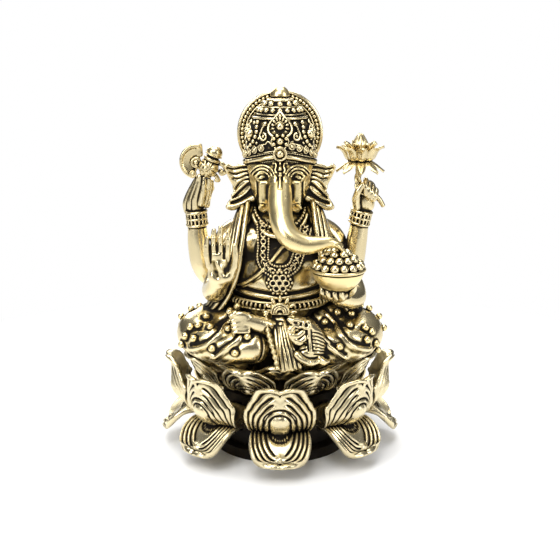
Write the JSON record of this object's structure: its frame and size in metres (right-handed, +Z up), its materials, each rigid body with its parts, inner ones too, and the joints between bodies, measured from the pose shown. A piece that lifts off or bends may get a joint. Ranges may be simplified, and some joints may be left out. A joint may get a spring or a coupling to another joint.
{
  "type": "deity statuette",
  "caption": "Seated four-armed elephant-headed deity statuette in antique brass, on a double lotus base.",
  "frame": {"origin": "centre of the underside of the lotus base, on the surface the statuette stands on", "axes": "+Z up; -Y is the front, the way the figure faces; +X is the viewer's right"},
  "size_m": [0.12, 0.12, 0.18],
  "materials": {
    "antique_brass": "antique, dark patina in the recesses and polished edges",
    "polished_brass": "polished",
    "petal_brass": "satin with dark grooves",
    "base_brass": "dark patina",
    "steel": "plain"
  },
  "bodies": {
    "root": {"lotus_drum": "base_brass", "seat_disc": "base_brass", "mounting_screw": "steel", "mounting_washer": "steel", "lower_petal_1": "petal_brass", "lower_petal_2": "petal_brass", "lower_petal_3": "petal_brass", "lower_petal_4": "petal_brass", "lower_petal_5": "petal_brass", "lower_petal_6": "petal_brass", "lower_petal_7": "petal_brass", "lower_petal_8": "petal_brass", "middle_petal_1": "petal_brass", "middle_petal_2": "petal_brass", "middle_petal_3": "petal_brass", "middle_petal_4": "petal_brass", "middle_petal_5": "petal_brass", "middle_petal_6": "petal_brass", "middle_petal_7": "petal_brass", "middle_petal_8": "petal_brass", "upper_petals": "petal_brass", "inner_petals": "petal_brass", "torso": "antique_brass", "left_leg": "antique_brass", "right_leg": "antique_brass", "foot": "polished_brass", "front_sash": "antique_brass", "dhoti_studs": "polished_brass", "belt": "antique_brass", "belt_buckle": "polished_brass", "shawl_left": "antique_brass", "shawl_right": "antique_brass", "sacred_thread": "polished_brass", "collar": "polished_brass", "garland": "antique_brass", "pendant": "polished_brass", "head": "antique_brass", "trunk": "polished_brass", "left_ear": "antique_brass", "right_ear": "antique_brass", "tusks": "polished_brass", "crown": "antique_brass", "crown_halo": "antique_brass", "crown_finial": "polished_brass", "crown_medallion": "polished_brass", "axe_arm": "antique_brass", "lotus_arm": "antique_brass", "blessing_arm": "antique_brass", "bowl_arm": "antique_brass", "axe_arm_bracelet": "polished_brass", "lotus_arm_bracelet": "polished_brass", "axe": "polished_brass", "lotus_flower": "polished_brass", "bowl": "polished_brass", "sweets": "polished_brass", "mouse": "antique_brass"}
  },
  "joints": []
}
